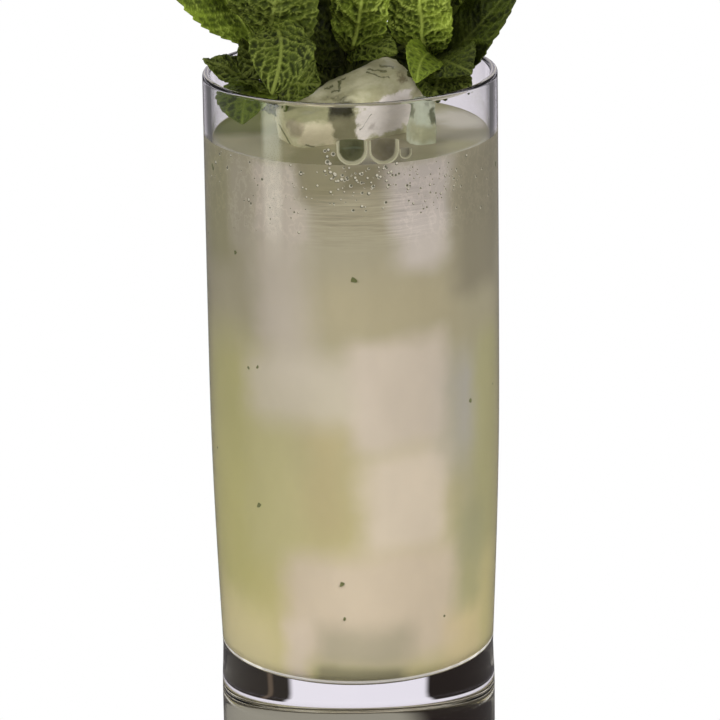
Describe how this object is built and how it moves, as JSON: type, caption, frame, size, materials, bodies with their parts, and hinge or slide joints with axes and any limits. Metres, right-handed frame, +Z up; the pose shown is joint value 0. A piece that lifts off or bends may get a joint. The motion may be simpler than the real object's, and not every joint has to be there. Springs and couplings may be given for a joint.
{
  "type": "mint collins drink",
  "caption": "Tall straight-sided glass of cloudy lime cocktail, with ice standing out of it and fresh mint sprigs above the rim.",
  "frame": {"origin": "middle of the flat underside of the glass", "axes": "+Z up along the glass's axis, -Y towards the front, where the big block of ice stands, +X to the right"},
  "size_m": [0.0816, 0.0711, 0.1923],
  "materials": {
    "glass": "clear polished glass",
    "drink": "cloudy pale lime liquid",
    "ice": "wet ice with fine cracks",
    "mint": "fresh quilted mint leaf"
  },
  "bodies": {
    "root": {"glass": "glass", "drink": "drink", "ice_front": "ice", "ice_side": "ice", "mint_left": "mint", "mint_centre": "mint", "mint_right": "mint"}
  },
  "joints": []
}
